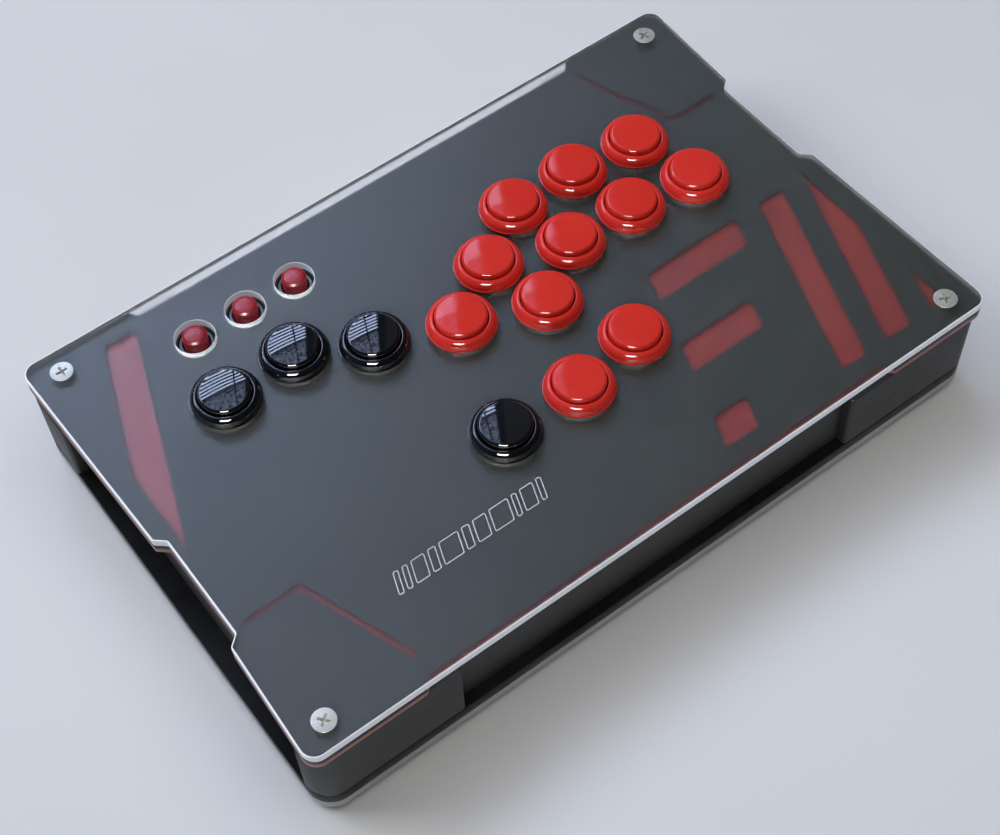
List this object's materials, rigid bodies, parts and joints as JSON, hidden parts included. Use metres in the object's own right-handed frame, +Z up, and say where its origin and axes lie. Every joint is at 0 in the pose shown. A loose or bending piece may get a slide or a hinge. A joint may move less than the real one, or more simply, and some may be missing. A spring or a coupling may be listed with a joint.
{
  "type": "all-button arcade controller",
  "caption": "Low rectangular arcade controller with a stacked acrylic top, red window pattern, round snap-in push buttons, small option buttons, notched ends and a cable socket.",
  "frame": {"origin": "centre of the underside, on the surface the feet stand on", "axes": "+X along the long side to the player's right, +Y away from the player, +Z up"},
  "size_m": [0.295, 0.191, 0.055],
  "materials": {
    "clear_acrylic": "polished clear acrylic sheet with bright edges",
    "black_acrylic": "gloss black acrylic with sawn edges",
    "red_acrylic": "gloss red acrylic",
    "frosted_acrylic": "light grey frosted acrylic",
    "frame_plastic": "fine satin charcoal plastic",
    "button_red": "polished red injection moulding",
    "button_black": "polished black injection moulding",
    "switch_metal": "satin nickel",
    "screw_steel": "nickel plated",
    "socket_steel": "drawn stainless shell",
    "foot_rubber": "matte black rubber",
    "circuit_board": "green solder mask",
    "bracket_nylon": "black nylon"
  },
  "bodies": {
    "case": {"clear_top_plate": "clear_acrylic", "art_plate": "black_acrylic", "red_plate": "red_acrylic", "corner_block_front_left": "frame_plastic", "corner_block_back_right": "frame_plastic", "corner_block_front_right": "frame_plastic", "corner_block_back_left": "frame_plastic", "wall_front": "frame_plastic", "wall_back": "frame_plastic", "wall_left": "frame_plastic", "wall_right": "frame_plastic", "base_layer": "black_acrylic", "bottom_plate": "frosted_acrylic", "foot_front_left": "foot_rubber", "foot_front_right": "foot_rubber", "foot_back_left": "foot_rubber", "foot_back_right": "foot_rubber", "corner_screw_front_left": "screw_steel", "corner_screw_front_right": "screw_steel", "corner_screw_back_left": "screw_steel", "corner_screw_back_right": "screw_steel", "housing_move_left": "button_black", "housing_move_down": "button_black", "housing_move_right": "button_black", "housing_move_up": "button_black", "housing_action_1": "button_red", "housing_action_2": "button_red", "housing_action_3": "button_red", "housing_action_4": "button_red", "housing_action_5": "button_red", "housing_action_6": "button_red", "housing_action_7": "button_red", "housing_action_8": "button_red", "housing_action_9": "button_red", "housing_action_10": "button_red", "housing_action_11": "button_red", "option_switch_1": "switch_metal", "option_switch_2": "switch_metal", "option_switch_3": "switch_metal", "control_board": "circuit_board", "board_bracket": "bracket_nylon", "cable_socket": "socket_steel"},
    "button_move_left": {"plunger_move_left": "button_black"},
    "button_move_down": {"plunger_move_down": "button_black"},
    "button_move_right": {"plunger_move_right": "button_black"},
    "button_move_up": {"plunger_move_up": "button_black"},
    "button_action_1": {"plunger_action_1": "button_red"},
    "button_action_2": {"plunger_action_2": "button_red"},
    "button_action_3": {"plunger_action_3": "button_red"},
    "button_action_4": {"plunger_action_4": "button_red"},
    "button_action_5": {"plunger_action_5": "button_red"},
    "button_action_6": {"plunger_action_6": "button_red"},
    "button_action_7": {"plunger_action_7": "button_red"},
    "button_action_8": {"plunger_action_8": "button_red"},
    "button_action_9": {"plunger_action_9": "button_red"},
    "button_action_10": {"plunger_action_10": "button_red"},
    "button_action_11": {"plunger_action_11": "button_red"},
    "button_option_1": {"option_cap_1": "button_red"},
    "button_option_2": {"option_cap_2": "button_red"},
    "button_option_3": {"option_cap_3": "button_red"}
  },
  "joints": [
    {"name": "press_move_left", "type": "slide", "parent": "case", "child": "button_move_left", "axis": [0, 0, -1], "range_m": [0, 0.002], "stiffness_N_per_m": 250, "springref_m": -0.0012},
    {"name": "press_move_down", "type": "slide", "parent": "case", "child": "button_move_down", "axis": [0, 0, -1], "range_m": [0, 0.002], "stiffness_N_per_m": 250, "springref_m": -0.0012},
    {"name": "press_move_right", "type": "slide", "parent": "case", "child": "button_move_right", "axis": [0, 0, -1], "range_m": [0, 0.002], "stiffness_N_per_m": 250, "springref_m": -0.0012},
    {"name": "press_move_up", "type": "slide", "parent": "case", "child": "button_move_up", "axis": [0, 0, -1], "range_m": [0, 0.002], "stiffness_N_per_m": 250, "springref_m": -0.0012},
    {"name": "press_action_1", "type": "slide", "parent": "case", "child": "button_action_1", "axis": [0, 0, -1], "range_m": [0, 0.002], "stiffness_N_per_m": 250, "springref_m": -0.0012},
    {"name": "press_action_2", "type": "slide", "parent": "case", "child": "button_action_2", "axis": [0, 0, -1], "range_m": [0, 0.002], "stiffness_N_per_m": 250, "springref_m": -0.0012},
    {"name": "press_action_3", "type": "slide", "parent": "case", "child": "button_action_3", "axis": [0, 0, -1], "range_m": [0, 0.002], "stiffness_N_per_m": 250, "springref_m": -0.0012},
    {"name": "press_action_4", "type": "slide", "parent": "case", "child": "button_action_4", "axis": [0, 0, -1], "range_m": [0, 0.002], "stiffness_N_per_m": 250, "springref_m": -0.0012},
    {"name": "press_action_5", "type": "slide", "parent": "case", "child": "button_action_5", "axis": [0, 0, -1], "range_m": [0, 0.002], "stiffness_N_per_m": 250, "springref_m": -0.0012},
    {"name": "press_action_6", "type": "slide", "parent": "case", "child": "button_action_6", "axis": [0, 0, -1], "range_m": [0, 0.002], "stiffness_N_per_m": 250, "springref_m": -0.0012},
    {"name": "press_action_7", "type": "slide", "parent": "case", "child": "button_action_7", "axis": [0, 0, -1], "range_m": [0, 0.002], "stiffness_N_per_m": 250, "springref_m": -0.0012},
    {"name": "press_action_8", "type": "slide", "parent": "case", "child": "button_action_8", "axis": [0, 0, -1], "range_m": [0, 0.002], "stiffness_N_per_m": 250, "springref_m": -0.0012},
    {"name": "press_action_9", "type": "slide", "parent": "case", "child": "button_action_9", "axis": [0, 0, -1], "range_m": [0, 0.002], "stiffness_N_per_m": 250, "springref_m": -0.0012},
    {"name": "press_action_10", "type": "slide", "parent": "case", "child": "button_action_10", "axis": [0, 0, -1], "range_m": [0, 0.002], "stiffness_N_per_m": 250, "springref_m": -0.0012},
    {"name": "press_action_11", "type": "slide", "parent": "case", "child": "button_action_11", "axis": [0, 0, -1], "range_m": [0, 0.002], "stiffness_N_per_m": 250, "springref_m": -0.0012},
    {"name": "press_option_1", "type": "slide", "parent": "case", "child": "button_option_1", "axis": [0, 0, -1], "range_m": [0, 0.001], "stiffness_N_per_m": 250, "springref_m": -0.0012},
    {"name": "press_option_2", "type": "slide", "parent": "case", "child": "button_option_2", "axis": [0, 0, -1], "range_m": [0, 0.001], "stiffness_N_per_m": 250, "springref_m": -0.0012},
    {"name": "press_option_3", "type": "slide", "parent": "case", "child": "button_option_3", "axis": [0, 0, -1], "range_m": [0, 0.001], "stiffness_N_per_m": 250, "springref_m": -0.0012}
  ]
}
